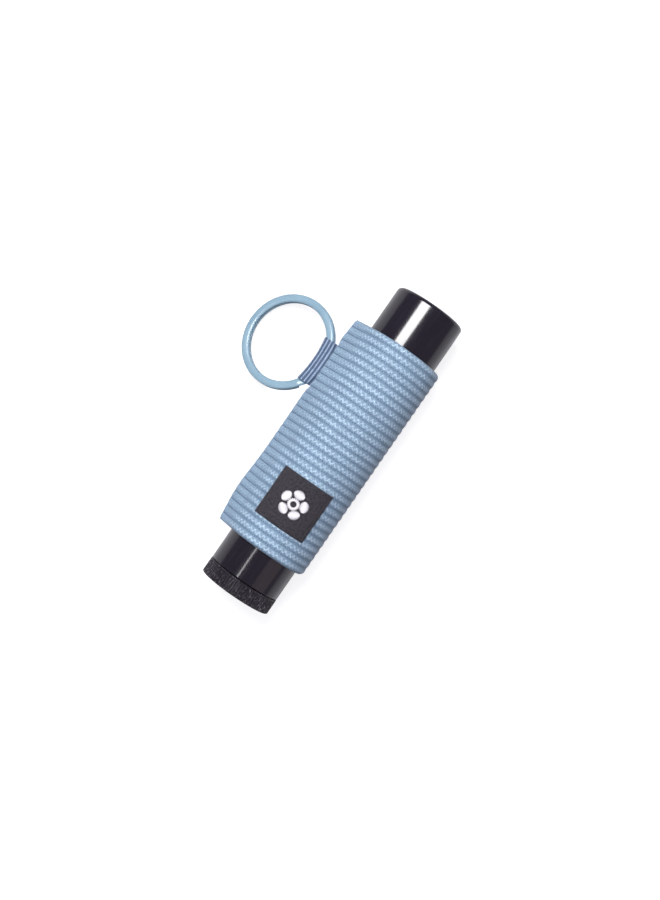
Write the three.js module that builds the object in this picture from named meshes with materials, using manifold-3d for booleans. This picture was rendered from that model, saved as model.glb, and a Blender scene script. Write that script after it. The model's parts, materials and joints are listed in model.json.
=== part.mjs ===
// A twist-up lip balm stick carried in a woven elastic sleeve with a split key ring.
// The object lies on its side: +X runs along the stick from the dial to the cap, +Z is up,
// and the key ring is on the +Y side. All sizes are in millimetres.
import * as THREE from 'three';
import { mergeVertices } from 'three/addons/utils/BufferGeometryUtils.js';
import Module from 'manifold-3d';

const wasm = await Module();
wasm.setup();

// ---- Driving dimensions: the balm stick ----
const stickLength = 71.5;
const barrelRadius = 8.0;
const dialProud = 0.05;
const dialHeight = 3.4;
const dialGap = 0.15;
const dialRibCount = 84;
const dialRibDepth = 0.2;
const capSetIn = 0.1;
const capLength = 25;
const capWall = 0.65;
const capTopThickness = 1.2;
const capEdgeRadius = 0.9;
const capSeatGap = 0.15;
const capClearance = 0.1;
const neckLength = 12;
const neckWall = 0.75;
const floorThickness = 1.2;
const floorRecess = 1.0;
const skirtWall = 1.0;
const guideRibCount = 4;
const guideRibHeight = 0.45;
const guideRibWidth = 0.9;

// ---- Driving dimensions: the lifting screw, its nut and the balm ----
const screwLead = 6;
const screwCoreRadius = 1.5;
const screwLobeHeight = 0.85;
const screwStepsPerTurn = 12;
const screwSectionPoints = 12;
const threadClearance = 0.28;
const hubRadius = 2.7;
const hubClearance = 0.25;
const collarOverlap = 0.35;
const collarThickness = 0.9;
const collarGap = 0.15;
const cupHeight = 6;
const cupFloor = 1.2;
const cupWall = 0.6;
const cupClearance = 0.12;
const cupStartGap = 0.5;
const nutWall = 0.8;
const balmAboveCup = 13.5;
const balmGap = 0.12;
const balmTopRadius = 1.6;
const rimSetback = 3.2;

// ---- Driving dimensions: the elastic sleeve and its label ----
const sleeveLength = 50;
const sleeveClearance = 0.1;
const webThickness = 1.3;
const creaseRadius = 1.1;
const creaseReach = 3.55;
const seamDepth = 2.6;
const seamPocketRadius = 0.4;
const rimRound = 0.35;
const settle = 0.2;
const seamThreadRadius = 0.14;
const seamStitchPitch = 2.5;
const labelLength = 11.2;
const labelWidth = 12.2;
const labelThickness = 0.45;
const labelFromDialEnd = 11.5;
const labelTurn = 2;
const labelGap = 0.05;
const emblemRadius = 3.1;
const emblemThickness = 0.22;
const emblemGap = 0.12;
const petalCount = 5;
const petalShare = 0.56;
const petalStretch = 0.1;
const heartReach = 0.85;
const eyeShare = 0.2;
const stitchInset = 0.55;
const stitchWidth = 0.28;

// ---- Driving dimensions: the key ring and its tab ----
const ringInnerRadius = 8.7;
const ringWireWidth = 1.7;
const ringWireThickness = 0.85;
const ringCoilGap = 0.06;
const ringRampAngle = 18;
const ringRampPlace = -31;
const ringCornerRadius = 0.36;
const ringInset = 0.15;
const tabWidth = 10.2;
const tabFromCapEnd = 11.7;
const tabWebThickness = 0.45;
const tabRootRadius = 1.25;
const tabRootGap = 0.5;
const tabSideGap = 0.25;
const tunnelClearance = 0.17;
const ringRestGap = 0.02;

const roundSteps = 48;

// ---- Solids and the turned and extruded shapes they are made from ----

function solidFrom(geometry) {
  const bare = geometry.clone();
  bare.deleteAttribute('normal');
  bare.deleteAttribute('uv');
  const merged = mergeVertices(bare, 1e-4);
  const triangles = [];
  for (let i = 0; i < merged.index.count; i += 3) {
    const corners = [0, 1, 2].map((k) => merged.index.getX(i + k));
    if (new Set(corners).size === 3) triangles.push(...corners);
  }
  return new wasm.Manifold(new wasm.Mesh({
    numProp: 3,
    vertProperties: new Float32Array(merged.attributes.position.array),
    triVerts: new Uint32Array(triangles),
  }));
}

function meshFrom(name, solid, material) {
  const { vertProperties, triVerts } = solid.getMesh();
  const geometry = new THREE.BufferGeometry();
  geometry.setAttribute('position', new THREE.BufferAttribute(new Float32Array(vertProperties), 3));
  geometry.setIndex(new THREE.BufferAttribute(new Uint32Array(triVerts), 1));
  geometry.computeVertexNormals();
  const mesh = new THREE.Mesh(geometry, material);
  mesh.name = name;
  return mesh;
}

function arc(centreX, centreY, radius, from, to, steps) {
  const points = [];
  for (let i = 0; i <= steps; i += 1) {
    const angle = from + ((to - from) * i) / steps;
    const x = centreX + radius * Math.cos(angle);
    points.push(new THREE.Vector2(x, centreY + radius * Math.sin(angle)));
  }
  return points;
}

// A profile is a list of [place along the stick, radius]; it closes on itself or ends on the axis.
function turned(profile, closed = true) {
  const points = profile.map(([along, radius]) => new THREE.Vector2(radius, along));
  if (closed) points.push(points[0].clone());
  return solidFrom(new THREE.LatheGeometry(points, roundSteps).rotateZ(-Math.PI / 2));
}

function box(low, high) {
  const size = high.map((value, i) => value - low[i]);
  const geometry = new THREE.BoxGeometry(...size);
  return solidFrom(geometry.translate(...low.map((value, i) => value + size[i] / 2)));
}

// Turns a section drawn in (y, z) and extruded from 0 into a prism along +X.
const alongX = new THREE.Matrix4().makeBasis(
  new THREE.Vector3(0, 1, 0),
  new THREE.Vector3(0, 0, 1),
  new THREE.Vector3(1, 0, 0),
);

function prism(outline, from, to, options = {}) {
  const shape = outline instanceof THREE.Shape ? outline : new THREE.Shape(outline);
  const settings = { depth: to - from, bevelEnabled: false, ...options };
  const geometry = new THREE.ExtrudeGeometry(shape, settings);
  return geometry.applyMatrix4(alongX).translate(from, 0, 0);
}

// ---- Places along the stick, measured from its middle ----
const dialEnd = -stickLength / 2;
const capEnd = stickLength / 2;
const barrelBottom = dialEnd + dialHeight + dialGap;
const floorBottom = barrelBottom + floorRecess;
const floorTop = floorBottom + floorThickness;
const capMouth = capEnd - capLength;
const shoulder = capMouth - capSeatGap;
const neckTop = shoulder + neckLength;

// ---- Radii of the pieces that nest in each other ----
const capRadius = barrelRadius - capSetIn;
const dialRadius = barrelRadius + dialProud;
const capInnerRadius = capRadius - capWall;
const neckRadius = capInnerRadius - capClearance;
const boreRadius = neckRadius - neckWall;
const holeRadius = hubRadius + hubClearance;
const cupRadius = boreRadius - cupClearance;
const cupInnerRadius = cupRadius - cupWall;
const screwRadius = screwCoreRadius + screwLobeHeight;
const nutRadius = screwRadius + threadClearance + nutWall;
const guideRadius = boreRadius - guideRibHeight;

// ---- Travel of the nut ----
const collarTop = floorTop + collarGap + collarThickness;
const cupBottom = collarTop + cupStartGap;
const cupTop = cupBottom + cupHeight;
const cupTravel = neckTop - rimSetback - cupTop;
const screwTop = cupTop + cupTravel;

function guideBars(from, to, inner, outer, width) {
  const bars = [];
  for (let i = 0; i < guideRibCount; i += 1) {
    const bar = box([from, -width / 2, inner], [to, width / 2, outer]);
    bars.push(bar.rotate([(360 * i) / guideRibCount, 0, 0]));
  }
  return bars.reduce((sum, bar) => sum.add(bar));
}

// The moulded tube: a plain body, a thinner neck that the cap slides over, a floor with a
// hole for the screw, and ribs down the bore that stop the nut turning.
function makeBarrel() {
  const lip = 0.25;
  const skirtRadius = barrelRadius - skirtWall;
  const body = turned([
    [barrelBottom, barrelRadius - lip],
    [barrelBottom + lip, barrelRadius],
    [shoulder - lip, barrelRadius],
    [shoulder, barrelRadius - lip],
    [shoulder, neckRadius],
    [neckTop - lip, neckRadius],
    [neckTop, neckRadius - lip],
    [neckTop, boreRadius],
    [floorTop, boreRadius],
    [floorTop, holeRadius],
    [floorBottom, holeRadius],
    [floorBottom, skirtRadius],
    [barrelBottom, skirtRadius],
  ]);
  const rootOverlap = neckWall / 2;
  const ribEnd = neckTop - rimSetback / 2;
  const ribRoot = boreRadius + rootOverlap;
  const ribs = guideBars(floorTop - lip, ribEnd, guideRadius, ribRoot, guideRibWidth);
  return body.add(ribs);
}

// The cap: a plain cup with a rounded top edge.
function makeCap() {
  const edgeFrom = capEnd - capEdgeRadius;
  const edge = arc(edgeFrom, capRadius - capEdgeRadius, capEdgeRadius, Math.PI / 2, 0, 5);
  const mouthLip = 0.2;
  return turned([
    [capEnd - capTopThickness, 0],
    [capEnd - capTopThickness, capInnerRadius],
    [capMouth, capInnerRadius],
    [capMouth, capRadius - mouthLip],
    [capMouth + mouthLip, capRadius],
    ...edge.map((point) => [point.x, point.y]),
    [capEnd, 0],
  ], false);
}

// A section with two lobes, twisted evenly so that it advances one lead in each turn.
function screwBody(from, to, extra) {
  const outline = [];
  for (let i = 0; i < screwSectionPoints; i += 1) {
    const angle = (2 * Math.PI * i) / screwSectionPoints;
    const radius = screwCoreRadius + screwLobeHeight * Math.max(0, Math.cos(2 * angle)) + extra;
    outline.push(new THREE.Vector2(radius * Math.cos(angle), radius * Math.sin(angle)));
  }
  const steps = Math.ceil(((to - from) / screwLead) * screwStepsPerTurn);
  const geometry = prism(outline, from, to, { steps });
  const position = geometry.attributes.position;
  for (let i = 0; i < position.count; i += 1) {
    const turn = (2 * Math.PI * (position.getX(i) - cupBottom)) / screwLead;
    const y = position.getY(i);
    const z = position.getZ(i);
    position.setY(i, y * Math.cos(turn) - z * Math.sin(turn));
    position.setZ(i, y * Math.sin(turn) + z * Math.cos(turn));
  }
  return solidFrom(geometry);
}

// One moulding: the ribbed dial, the hub through the barrel's floor, the collar that snaps in
// above it, and the lifting screw.
function makeDialSpindle() {
  const outline = [];
  for (let i = 0; i < dialRibCount * 2; i += 1) {
    const angle = (Math.PI * i) / dialRibCount;
    const radius = dialRadius - (i % 2) * dialRibDepth;
    outline.push(new THREE.Vector2(radius * Math.cos(angle), radius * Math.sin(angle)));
  }
  const overlap = 0.2;
  const dialTop = dialEnd + dialHeight;
  const dial = solidFrom(prism(outline, dialEnd, dialTop));
  const hub = turned([
    [dialTop - overlap, 0],
    [dialTop - overlap, hubRadius],
    [floorTop + collarGap, hubRadius],
    [floorTop + collarGap, holeRadius + collarOverlap],
    [collarTop, holeRadius],
    [collarTop, 0],
  ], false);
  return dial.add(hub).add(screwBody(collarTop - overlap, screwTop, 0));
}

// The nut that lifts the balm: a cup notched to ride the guide ribs, with a twisted bore.
function makeElevatorCup() {
  const cup = turned([
    [cupBottom, 0],
    [cupBottom, cupRadius],
    [cupTop, cupRadius],
    [cupTop, cupInnerRadius],
    [cupBottom + cupFloor, cupInnerRadius],
    [cupBottom + cupFloor, nutRadius],
    [cupTop, nutRadius],
    [cupTop, 0],
  ], false);
  const beyond = 1;
  const notchGap = 0.15;
  const notchWidth = guideRibWidth + 2 * notchGap;
  const notchFloor = guideRadius - notchGap;
  const notches = guideBars(cupBottom - beyond, cupTop + beyond, notchFloor, boreRadius, notchWidth);
  const thread = screwBody(cupBottom - beyond, cupTop + beyond, threadClearance);
  return cup.subtract(notches).subtract(thread);
}

// A part-used column of balm, seated round the nut and bored for the screw.
function makeBalm() {
  const seatTop = cupTop + balmGap;
  const top = seatTop + balmAboveCup;
  const seatInner = nutRadius + balmGap;
  const seatOuter = cupInnerRadius - balmGap;
  const columnRadius = guideRadius - balmGap;
  const boreWall = screwRadius + threadClearance;
  return turned([
    [cupBottom + cupFloor + balmGap, seatOuter],
    [seatTop, seatOuter],
    [seatTop, columnRadius],
    [top - balmTopRadius, columnRadius],
    [top - balmTopRadius / 3, columnRadius - balmTopRadius / 2],
    [top, columnRadius - balmTopRadius],
    [top, boreWall],
    [seatTop, boreWall],
    [seatTop, seatInner],
    [cupBottom + cupFloor + balmGap, seatInner],
  ]);
}

// ---- The sleeve's section: round the stick, with a sewn crease on the +Y side ----
const sleeveBore = Math.max(barrelRadius, dialRadius, capRadius) + sleeveClearance;
const sleeveRadius = sleeveBore + webThickness;
const creaseTip = sleeveBore + creaseReach;
const creaseCentre = creaseTip - creaseRadius;
const pocketTip = creaseTip - seamDepth;
const pocketCentre = pocketTip - seamPocketRadius;
const socketRadius = tabRootRadius + tabRootGap;
const hingePlace = pocketTip + tabWebThickness + socketRadius;
const axisHeight = sleeveRadius - settle;
const tabPlace = sleeveLength / 2 - tabFromCapEnd;

function teardrop(radius, tipRadius, tipCentre) {
  const tangent = Math.acos((radius - tipRadius) / tipCentre);
  return [
    ...arc(0, 0, radius, tangent, 2 * Math.PI - tangent, roundSteps),
    ...arc(tipCentre, 0, tipRadius, -tangent, tangent, 6),
  ];
}

// The elastic sleeve: one band folded round the stick and sewn along the crease, settled flat
// where it lies, with a round socket in the crease where the tab comes out.
function makeSleeve() {
  const section = new THREE.Shape(teardrop(sleeveRadius, creaseRadius, creaseCentre));
  section.holes.push(new THREE.Path(teardrop(sleeveBore, seamPocketRadius, pocketCentre)));
  const half = sleeveLength / 2;
  const rounding = {
    bevelEnabled: true,
    bevelThickness: rimRound,
    bevelSize: rimRound,
    bevelOffset: -rimRound,
    bevelSegments: 2,
  };
  const band = solidFrom(prism(section, rimRound - half, half - rimRound, rounding));
  const wide = 2 * sleeveRadius;
  const below = box([-sleeveLength, -wide, -wide], [sleeveLength, wide, -axisHeight]);
  const tabSpan = tabWidth / 2 + tabSideGap;
  const socketOutline = [
    ...arc(0, 0, socketRadius, Math.PI / 2, 1.5 * Math.PI, 16),
    new THREE.Vector2(creaseTip, -socketRadius),
    new THREE.Vector2(creaseTip, socketRadius),
  ];
  const socket = prism(socketOutline, tabPlace - tabSpan, tabPlace + tabSpan);
  socket.translate(0, hingePlace, 0);
  return band.subtract(below).subtract(solidFrom(socket));
}

// The lockstitch that closes the crease, in the narrow pocket inside it.
function makeSeamThread() {
  const points = [];
  const end = sleeveLength / 2 - rimRound - seamThreadRadius;
  const stitches = Math.round((2 * end) / seamStitchPitch);
  const wave = (seamPocketRadius - seamThreadRadius) / 3;
  for (let i = 0; i <= stitches; i += 1) {
    const x = -end + (2 * end * i) / stitches;
    points.push(new THREE.Vector3(x, pocketCentre, i % 2 ? wave : -wave));
  }
  const section = new THREE.Shape(arc(0, 0, seamThreadRadius, 0, (2 * Math.PI * 5) / 6, 5));
  return solidFrom(new THREE.ExtrudeGeometry(section, {
    steps: stitches,
    extrudePath: new THREE.CatmullRomCurve3(points),
  }));
}

// ---- The label, laid round the top of the sleeve ----
const labelPlace = -sleeveLength / 2 + labelFromDialEnd;
const labelBase = sleeveRadius + labelGap;

// Bends a flat piece, lying in (x, y) with its height in z, round the sleeve at a given radius.
function wrapped(geometry, baseRadius) {
  const position = geometry.attributes.position;
  for (let i = 0; i < position.count; i += 1) {
    const angle = position.getY(i) / sleeveRadius + THREE.MathUtils.degToRad(labelTurn);
    const radius = baseRadius + position.getZ(i);
    position.setY(i, radius * Math.sin(angle));
    position.setZ(i, radius * Math.cos(angle));
  }
  return solidFrom(geometry.translate(labelPlace, 0, 0));
}

function strip(length, width, thickness, across = 24) {
  const geometry = new THREE.BoxGeometry(length, width, thickness, 1, across, 1);
  return geometry.translate(0, 0, thickness / 2);
}

function makeLabel() {
  return wrapped(strip(labelLength, labelWidth, labelThickness), labelBase);
}

// A plain flower of round petals, embroidered on the label.
function makeEmblem() {
  const base = labelBase + labelThickness + emblemGap;
  const petalLength = emblemRadius * petalShare;
  const petalHalfLength = petalLength / 2 + petalStretch;
  const petalHalfWidth = petalLength / 2 - petalStretch / 2;
  const options = { depth: emblemThickness, bevelEnabled: false, curveSegments: 8 };
  const petals = [];
  for (let i = 0; i < petalCount; i += 1) {
    const petal = new THREE.Shape();
    petal.absellipse(0, 0, petalHalfLength, petalHalfWidth, 0, 2 * Math.PI);
    const geometry = new THREE.ExtrudeGeometry(petal, options);
    geometry.translate(emblemRadius - petalHalfLength, 0, 0);
    petals.push(wrapped(geometry.rotateZ((2 * Math.PI * i) / petalCount), base));
  }
  const heart = new THREE.Shape();
  heart.absarc(0, 0, emblemRadius - petalLength * heartReach, 0, 2 * Math.PI);
  const eye = new THREE.Path();
  eye.absarc(0, 0, emblemRadius * eyeShare, 0, 2 * Math.PI);
  heart.holes.push(eye);
  const centre = wrapped(new THREE.ExtrudeGeometry(heart, options), base);
  return petals.reduce((sum, petal) => sum.add(petal), centre);
}

// The thread that sews the label down, just inside its edge.
function makeLabelStitching() {
  const base = labelBase + labelThickness + labelGap;
  const alongHalf = labelLength / 2 - stitchInset;
  const aroundHalf = labelWidth / 2 - stitchInset;
  const lines = [];
  for (const side of [-1, 1]) {
    const row = strip(2 * alongHalf, stitchWidth, stitchWidth, 1);
    lines.push(row.translate(0, side * aroundHalf, 0));
    const hoop = strip(stitchWidth, 2 * aroundHalf, stitchWidth);
    lines.push(hoop.translate(side * alongHalf, 0, 0));
  }
  return lines.map((line) => wrapped(line, base)).reduce((sum, line) => sum.add(line));
}

// ---- The key ring and its tab, in a frame at the tab's fold line ----
// In this frame x runs along the fold line, y runs out to the ring, and z is the ring's axis.
const ringOuterRadius = ringInnerRadius + ringWireWidth;
const ringMiddleRadius = ringInnerRadius + ringWireWidth / 2;
const ringHalfHeight = ringWireThickness + ringCoilGap / 2;
const ringReach = ringOuterRadius - ringInset;
const tunnelHalfHeight = ringHalfHeight + tunnelClearance;
const tabHalfHeight = tunnelHalfHeight + tabWebThickness;

// The ring droops from the tab until its far edge rests on the surface below.
function droopAngle() {
  const reach = ringReach + ringOuterRadius;
  const drop = axisHeight - ringRestGap;
  return Math.asin(drop / Math.hypot(reach, ringHalfHeight)) - Math.atan2(ringHalfHeight, reach);
}

function roundedSection(halfWidth, halfHeight, corner, steps) {
  const x = halfWidth - corner;
  const y = halfHeight - corner;
  return [
    ...arc(x, y, corner, 0, Math.PI / 2, steps),
    ...arc(-x, y, corner, Math.PI / 2, Math.PI, steps),
    ...arc(-x, -y, corner, Math.PI, 1.5 * Math.PI, steps),
    ...arc(x, -y, corner, 1.5 * Math.PI, 2 * Math.PI, steps),
  ];
}

// A split ring: flattened wire wound for two turns, one on the other, with a short ramp where
// it climbs from the lower turn to the upper one.
function makeKeyRing() {
  const level = (ringWireThickness + ringCoilGap) / 2;
  const ramp = THREE.MathUtils.degToRad(ringRampAngle);
  const span = 4 * Math.PI - ramp;
  const stepsPerTurn = 44;
  const steps = 2 * stepsPerTurn;
  const section = roundedSection(ringWireWidth / 2, ringWireThickness / 2, ringCornerRadius, 1);
  const options = { depth: span, steps, bevelEnabled: false };
  const geometry = new THREE.ExtrudeGeometry(new THREE.Shape(section), options);
  const position = geometry.attributes.position;
  const start = THREE.MathUtils.degToRad(ringRampPlace - 90) - ramp / 2;
  for (let i = 0; i < position.count; i += 1) {
    const along = position.getZ(i);
    const climb = THREE.MathUtils.smoothstep(along, span / 2 - ramp / 2, span / 2 + ramp / 2);
    const angle = start - along;
    const radius = ringMiddleRadius + position.getX(i);
    const height = position.getY(i) + level * (2 * climb - 1);
    position.setXYZ(i, radius * Math.cos(angle), radius * Math.sin(angle), height);
  }
  return solidFrom(geometry.translate(0, ringReach, 0));
}

// The tab: a short piece of ribbed webbing folded round the wire, with its ends in the seam.
function makeTab() {
  const tunnelHalfWidth = ringWireWidth / 2 + tunnelClearance;
  const endWire = ringReach - Math.sqrt(ringMiddleRadius ** 2 - (tabWidth / 2) ** 2);
  const slant = Math.cos(Math.asin(tabWidth / 2 / ringMiddleRadius));
  const foldEdge = endWire + tunnelHalfWidth / slant + tabWebThickness;
  const outline = [
    ...arc(0, 0, tabRootRadius, Math.PI / 2, 1.5 * Math.PI, 10),
    ...arc(foldEdge - tabHalfHeight, 0, tabHalfHeight, -Math.PI / 2, Math.PI / 2, 12),
  ];
  const fold = solidFrom(prism(outline, -tabWidth / 2, tabWidth / 2));
  const tunnelSection = roundedSection(tunnelHalfWidth, tunnelHalfHeight, ringCornerRadius, 2);
  const shifted = (point) => new THREE.Vector2(ringMiddleRadius + point.x, point.y);
  const profile = tunnelSection.map(shifted);
  const tunnel = new THREE.LatheGeometry([...profile, profile[0].clone()], 2 * roundSteps);
  return fold.subtract(solidFrom(tunnel.rotateX(Math.PI / 2).translate(0, ringReach, 0)));
}

// ---- Finishes ----
function finish(color, roughness, metalness = 0) {
  return new THREE.MeshStandardMaterial({ color, roughness, metalness });
}

const blackGloss = finish(0x29252f, 0.28);
const blackDial = finish(0x26242b, 0.42);
const whiteMoulding = finish(0xe9e6df, 0.45);
const balmWax = finish(0xf1e6c8, 0.5);
const blueElastic = finish(0x87a3bd, 0.85);
const blueWebbing = finish(0x5f7396, 0.85);
const blueThread = finish(0x7f9ab4, 0.8);
const blueEnamel = finish(0x9ab9cc, 0.3, 0.2);
const blackWeave = finish(0x2b2930, 0.9);
const whiteThread = finish(0xf0eef0, 0.75);
const blackThread = finish(0x232126, 0.8);

// ---- Assembly ----
const stick = new THREE.Group();
stick.add(meshFrom('barrel', makeBarrel(), blackGloss));
stick.add(meshFrom('cap', makeCap(), blackGloss));
stick.add(meshFrom('dial_spindle', makeDialSpindle(), blackDial));
stick.add(meshFrom('elevator_cup', makeElevatorCup(), whiteMoulding));
stick.add(meshFrom('balm', makeBalm(), balmWax));

const sleeve = new THREE.Group();
sleeve.add(meshFrom('elastic_sleeve', makeSleeve(), blueElastic));
sleeve.add(meshFrom('side_seam_thread', makeSeamThread(), blueThread));
sleeve.add(meshFrom('label_patch', makeLabel(), blackWeave));
sleeve.add(meshFrom('label_emblem', makeEmblem(), whiteThread));
sleeve.add(meshFrom('label_stitching', makeLabelStitching(), blackThread));

const tab = new THREE.Group();
tab.add(meshFrom('ring_tab', makeTab(), blueWebbing));
tab.add(meshFrom('key_ring', makeKeyRing(), blueEnamel));
tab.position.set(tabPlace, hingePlace, 0);
tab.rotation.x = -droopAngle();

const lying = new THREE.Group();
lying.add(stick, sleeve, tab);
const extent = new THREE.Box3().setFromObject(lying, true);
lying.position.set(0, -(extent.min.y + extent.max.y) / 2, axisHeight);

const keychainBalm = new THREE.Group();
keychainBalm.add(lying);
export default keychainBalm;
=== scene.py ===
import functools
import json
import math

import bmesh
import bpy
from mathutils import Matrix, Vector


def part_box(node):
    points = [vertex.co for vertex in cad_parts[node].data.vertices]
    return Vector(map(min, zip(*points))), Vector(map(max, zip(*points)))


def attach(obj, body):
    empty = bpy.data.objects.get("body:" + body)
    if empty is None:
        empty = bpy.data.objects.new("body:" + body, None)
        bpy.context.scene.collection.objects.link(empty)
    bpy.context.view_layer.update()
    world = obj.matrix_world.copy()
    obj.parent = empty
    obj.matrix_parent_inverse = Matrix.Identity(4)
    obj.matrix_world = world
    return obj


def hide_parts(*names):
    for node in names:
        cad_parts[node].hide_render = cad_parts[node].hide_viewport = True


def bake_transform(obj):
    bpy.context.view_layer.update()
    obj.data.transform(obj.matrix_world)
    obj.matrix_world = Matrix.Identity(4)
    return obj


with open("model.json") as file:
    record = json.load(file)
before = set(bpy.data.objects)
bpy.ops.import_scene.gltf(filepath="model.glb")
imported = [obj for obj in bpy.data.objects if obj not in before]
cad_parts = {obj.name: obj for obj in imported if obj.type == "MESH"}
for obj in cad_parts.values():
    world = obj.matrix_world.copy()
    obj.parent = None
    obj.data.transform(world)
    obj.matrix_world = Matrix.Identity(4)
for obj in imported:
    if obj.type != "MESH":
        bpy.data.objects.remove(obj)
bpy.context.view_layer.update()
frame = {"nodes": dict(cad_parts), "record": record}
MM = 0.001


# ---- Barrel ----
# The body of the balm stick is one black polypropylene moulding, glossy all over: a plain
# tube, a thinner neck that the cap slides over, and four ribs down its bore that stop the
# nut turning. Its floor has a hole that the spindle snaps through.
barrel_low, barrel_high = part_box("barrel")
cap_low, cap_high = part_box("cap")
AXIS_Y = (barrel_low[1] + barrel_high[1]) / 2
AXIS_Z = (barrel_low[2] + barrel_high[2]) / 2
BARREL_RADIUS = (barrel_high[1] - barrel_low[1]) / 2
CAP_RADIUS = (cap_high[1] - cap_low[1]) / 2
CAP_WALL = 0.65 * MM
CAP_SEAT_GAP = 0.15 * MM
NECK_RADIUS = CAP_RADIUS - CAP_WALL - 0.1 * MM
BORE_RADIUS = NECK_RADIUS - 0.75 * MM
FLOOR_BOTTOM = barrel_low[0] + 1.0 * MM
FLOOR_TOP = FLOOR_BOTTOM + 1.2 * MM
FLOOR_HOLE = 2.95 * MM
SKIRT_RADIUS = BARREL_RADIUS - 1.0 * MM
GUIDE_RIB_HEIGHT = 0.45 * MM
GUIDE_RIB_SPREAD = math.radians(4.1)
GUIDE_RIB_SETBACK = 1.6 * MM
TURNED_STEPS = 192


def turned(profile, steps=TURNED_STEPS, closed=True):
    """Turns a profile of (place along the stick, radius) about the stick's axis."""
    shape = bmesh.new()
    points = [shape.verts.new((x, AXIS_Y, AXIS_Z + radius)) for x, radius in profile]
    for first, second in zip(points, points[1:]):
        shape.edges.new((first, second))
    if closed:
        shape.edges.new((points[-1], points[0]))
    bmesh.ops.spin(
        shape,
        geom=shape.verts[:] + shape.edges[:],
        cent=(0, AXIS_Y, AXIS_Z),
        axis=(1, 0, 0),
        angle=2 * math.pi,
        steps=steps,
        use_merge=True,
    )
    bmesh.ops.remove_doubles(shape, verts=shape.verts, dist=1e-7)
    bmesh.ops.recalc_face_normals(shape, faces=shape.faces)
    return shape


def rounded(shape, radius, segments=3, sharper_than=35):
    """Rounds the edges where a moulding turns more sharply than an angle in degrees."""
    limit = math.radians(sharper_than)
    edges = [e for e in shape.edges if len(e.link_faces) == 2 and e.calc_face_angle() > limit]
    bmesh.ops.bevel(
        shape,
        geom=edges,
        offset=radius,
        offset_type="OFFSET",
        segments=segments,
        profile=0.5,
        affect="EDGES",
        clamp_overlap=True,
        material=-1,
    )
    return shape


def piece(name, shape, material, smooth_angle=40):
    """Makes a finished object of a shape, smooth except where it turns sharply."""
    mesh = bpy.data.meshes.new(name)
    shape.to_mesh(mesh)
    shape.free()
    mesh.materials.append(material)
    mesh.shade_smooth()
    mesh.set_sharp_from_angle(angle=math.radians(smooth_angle))
    item = bpy.data.objects.new(name, mesh)
    bpy.context.scene.collection.objects.link(item)
    return item


def new_material(name, colour, roughness, **sockets):
    """A material with its plain numbers set on the shader's own sockets."""
    material = bpy.data.materials.new(name)
    material.use_nodes = True
    shader = material.node_tree.nodes["Principled BSDF"]
    shader.inputs["Base Color"].default_value = (*colour, 1)
    shader.inputs["Roughness"].default_value = roughness
    for socket, value in sockets.items():
        shader.inputs[socket.replace("_", " ")].default_value = value
    return material


def node(tree, kind, inputs=None, **settings):
    """Adds a node; inputs that are sockets are linked and the others are set."""
    added = tree.nodes.new(kind)
    for name, value in settings.items():
        setattr(added, name, value)
    for name, value in (inputs or {}).items():
        if isinstance(value, bpy.types.NodeSocket):
            tree.links.new(value, added.inputs[name])
        else:
            added.inputs[name].default_value = value
    return added


def maths(tree, operation, first, second=0.0, third=0.0):
    inputs = {0: first, 1: second, 2: third}
    return node(tree, "ShaderNodeMath", inputs, operation=operation).outputs[0]


def noise(tree, place, scale, detail):
    inputs = {"Vector": place, "Scale": scale, "Detail": detail}
    return node(tree, "ShaderNodeTexNoise", inputs).outputs[0]


def stretched(tree, place, scale):
    """The same place with each axis scaled, to draw a pattern out along the others."""
    return node(tree, "ShaderNodeMapping", {"Vector": place, "Scale": scale}).outputs[0]


def ramp(tree, value, start, end):
    """0 at start rising evenly to 1 at end."""
    inputs = {"Value": value, "From Min": start, "From Max": end}
    return node(tree, "ShaderNodeMapRange", inputs).outputs[0]


def mixed(tree, share, first, second):
    """One colour fading to another as the share goes from 0 to 1."""
    inputs = {"Factor": share, 6: first, 7: second}
    return node(tree, "ShaderNodeMix", inputs, data_type="RGBA").outputs[2]


def surface(material, colour, roughness, height, strength, depth):
    """Gives a material a colour, a roughness and a raised pattern that change over it."""
    tree = material.node_tree
    shader = tree.nodes["Principled BSDF"]
    inputs = {"Height": height, "Strength": strength, "Distance": depth}
    bump = node(tree, "ShaderNodeBump", inputs)
    tree.links.new(colour, shader.inputs["Base Color"])
    tree.links.new(roughness, shader.inputs["Roughness"])
    tree.links.new(bump.outputs["Normal"], shader.inputs["Normal"])
    return material


def new_group(name, inputs, outputs):
    """An empty node group with named inputs, given as (name, kind, value), and outputs."""
    group = bpy.data.node_groups.new(name, "ShaderNodeTree")
    for title, kind, value in inputs:
        socket = group.interface.new_socket(title, in_out="INPUT", socket_type=f"NodeSocket{kind}")
        socket.default_value = value
    for title, kind in outputs:
        group.interface.new_socket(title, in_out="OUTPUT", socket_type=f"NodeSocket{kind}")
    return group, group.nodes.new("NodeGroupInput").outputs, group.nodes.new("NodeGroupOutput")


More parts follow.
